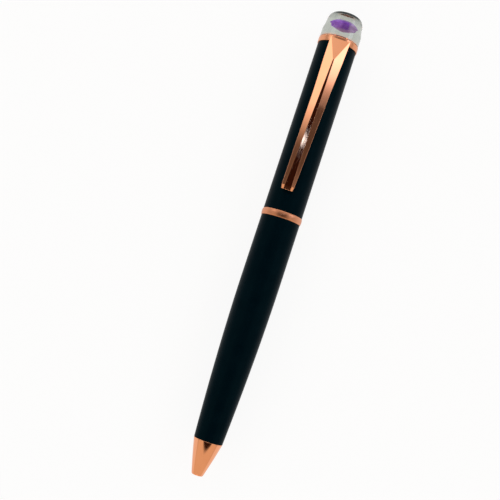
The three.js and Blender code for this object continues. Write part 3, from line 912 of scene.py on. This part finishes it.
def place_camera():
    data = bpy.data.cameras.new("camera")
    data.sensor_width = SENSOR_WIDTH
    reach = math.hypot(CAMERA_HEIGHT, AIM_STATION - CAMERA_STATION)
    data.lens = reach * PIXELS_PER_MM / IMAGE * data.sensor_width
    data.clip_start = 0.01
    data.clip_end = 10
    camera = bpy.data.objects.new("camera", data)
    bpy.context.collection.objects.link(camera)
    aim = Vector((mouth_x + AIM_STATION * MM, AIM_ASIDE * MM, axis_z))
    place = Vector((mouth_x + CAMERA_STATION * MM, AIM_ASIDE * MM, axis_z + CAMERA_HEIGHT * MM))
    back = (place - aim).normalized()
    # The pen points up the image and leans to the right
    up = Vector((math.cos(PEN_LEAN), math.sin(PEN_LEAN), 0))
    up = (up - back * up.dot(back)).normalized()
    right = up.cross(back)
    camera.matrix_world = Matrix.Translation(place) @ Matrix((right, up, back)).transposed().to_4x4()
    bpy.context.scene.camera = camera


# Floor

FLOOR_HALF = 3.0
# Just under the pen, so that the two faces don't meet
FLOOR_HEIGHT = -0.0002
FLOOR_COLOUR = (0.9, 0.9, 0.9)
# Its own light, and how much of that the camera, mirrors and clear pieces see
FLOOR_GLOW = 1.06
GLOW_SHARE = 0.85


def floor():
    mesh = bpy.data.meshes.new("floor")
    half = FLOOR_HALF
    corners = [(-half, -half, 0), (half, -half, 0), (half, half, 0), (-half, half, 0)]
    mesh.from_pydata(corners, [], [(0, 1, 2, 3)])
    plane = bpy.data.objects.new("floor", mesh)
    plane.location.z = FLOOR_HEIGHT
    bpy.context.collection.objects.link(plane)
    material, tree, shader = new_material("floor_paint")
    shader.inputs["Base Color"].default_value = (*FLOOR_COLOUR, 1)
    shader.inputs["Roughness"].default_value = 0.9
    shader.inputs["Specular IOR Level"].default_value = 0.1
    glow = tree.nodes.new("ShaderNodeEmission")
    glow.inputs["Color"].default_value = (1, 1, 1, 1)
    glow.inputs["Strength"].default_value = FLOOR_GLOW
    path = tree.nodes.new("ShaderNodeLightPath")
    seen = path.outputs["Is Camera Ray"]
    for other in ("Is Glossy Ray", "Is Transmission Ray"):
        seen = combine(tree, "MAXIMUM", seen, path.outputs[other])
    share = tree.nodes.new("ShaderNodeMath")
    share.operation = "MULTIPLY"
    share.inputs[1].default_value = GLOW_SHARE
    tree.links.new(seen, share.inputs[0])
    lit = mix_shaders(tree, share.outputs[0], shader.outputs["BSDF"], glow.outputs["Emission"])
    set_surface(tree, lit)
    mesh.materials.append(material)


# World

TENT_COLOUR = (0.60, 0.59, 0.58)
PANEL_COLOUR = (0.030, 0.013, 0.009)
# The dark panel, in the X and Y of a direction. Its end is rounded: its X changes by PANEL_POINT times
# the square of Y. Each pair of values is where the panel is full and where it is gone.
PANEL_POINT = -0.22
PANEL_END = (-0.566, -0.590)
PANEL_START = (0.27, 0.40)
PANEL_SIDES = (0.46, 0.58)
# Patches of the tent's light: a direction, the angles where it is full and gone, and its colour
WALLS = [
    ((-0.87, 0.0, 0.50), 55, 75, (0.84, 0.76, 0.62)),
    ((0.80, 0.0, 0.60), 18, 32, (0.93, 0.91, 0.88)),
    ((1.0, 0.0, 0.0), 20, 24, (0.05, 0.06, 0.065)),
]
SIDE_PANELS = [
    ((0.17, 0.82, 0.55), 3.5, 7, (0.14, 0.13, 0.12)),
    ((0.17, -0.82, 0.55), 4, 8, (0.11, 0.10, 0.10)),
    ((0.44, 0.73, 0.52), 7.5, 16.0, (1.72, 1.72, 1.74)),
    ((0.44, -0.73, 0.52), 8.3, 14.2, (2.3, 2.4, 2.8)),
    ((0.1435, 0.0, 0.9897), 0.5, 1.05, (5.0, 9.0, 15.0)),
]


def add_patches(tree, direction, colour, patches):
    """Lay patches of light over a colour of the tent."""
    for towards, inner, outer, light in patches:
        near = math.cos(math.radians(inner))
        far = math.cos(math.radians(outer))
        value = facing(tree, direction, Vector(towards).normalized())
        share = remap(tree, value, 0, 1, far, near)
        share.node.interpolation_type = "SMOOTHSTEP"
        colour = lay_over(tree, share, colour, light)
    return colour


def overhead_panel(tree, direction):
    """How far a direction points at the dark panel overhead, from 0 to 1."""
    split = tree.nodes.new("ShaderNodeSeparateXYZ")
    tree.links.new(direction, split.inputs["Vector"])
    x = split.outputs["X"]
    y = split.outputs["Y"]
    aside = tree.nodes.new("ShaderNodeMath")
    aside.operation = "ABSOLUTE"
    tree.links.new(y, aside.inputs[0])
    point = tree.nodes.new("ShaderNodeMath")
    point.operation = "MULTIPLY_ADD"
    tree.links.new(combine(tree, "MULTIPLY", y, y), point.inputs[0])
    point.inputs[1].default_value = PANEL_POINT
    tree.links.new(x, point.inputs[2])
    full, gone = PANEL_END
    panel = remap(tree, point.outputs[0], 0, 1, gone, full)
    for value, (full, gone) in ((x, PANEL_START), (aside.outputs[0], PANEL_SIDES)):
        panel = combine(tree, "MULTIPLY", panel, remap(tree, value, 1, 0, full, gone))
    return panel


def studio_world():
    """A pale tent with a dark panel overhead, where the camera stands, and brighter panels at its sides."""
    world = bpy.data.worlds.new("studio")
    bpy.context.scene.world = world
    world.use_nodes = True
    tree = world.node_tree
    tree.nodes.clear()
    output = tree.nodes.new("ShaderNodeOutputWorld")
    background = tree.nodes.new("ShaderNodeBackground")
    coordinates = tree.nodes.new("ShaderNodeTexCoord")
    direction = coordinates.outputs["Generated"]
    tent = tree.nodes.new("ShaderNodeRGB")
    tent.outputs[0].default_value = (*TENT_COLOUR, 1)
    walls = add_patches(tree, direction, tent.outputs[0], WALLS)
    ceiling = lay_over(tree, overhead_panel(tree, direction), walls, PANEL_COLOUR)
    lit = add_patches(tree, direction, ceiling, SIDE_PANELS)
    tree.links.new(lit, background.inputs["Color"])
    tree.links.new(background.outputs["Background"], output.inputs["Surface"])


# Lamps: two soft boxes of equal size and power, one past each end of the pen

LAMP_REACH = 0.66
LAMP_HEIGHT = 0.14
LAMP_SIZE = (0.20, 0.40)
LAMP_POWER = 0.20
LAMP_AIM = (0, 0, 0.01)


def lamp(name, x):
    data = bpy.data.lights.new(name, "AREA")
    data.energy = LAMP_POWER
    data.shape = "RECTANGLE"
    data.size, data.size_y = LAMP_SIZE
    light = bpy.data.objects.new(name, data)
    place = Vector((x, 0, LAMP_HEIGHT))
    light.location = place
    light.rotation_euler = (Vector(LAMP_AIM) - place).to_track_quat("-Z", "Y").to_euler()
    bpy.context.collection.objects.link(light)


place_camera()
floor()
studio_world()
lamp("tail_box", LAMP_REACH)
lamp("nose_box", -LAMP_REACH)

bpy.context.scene.view_settings.view_transform = "Standard"
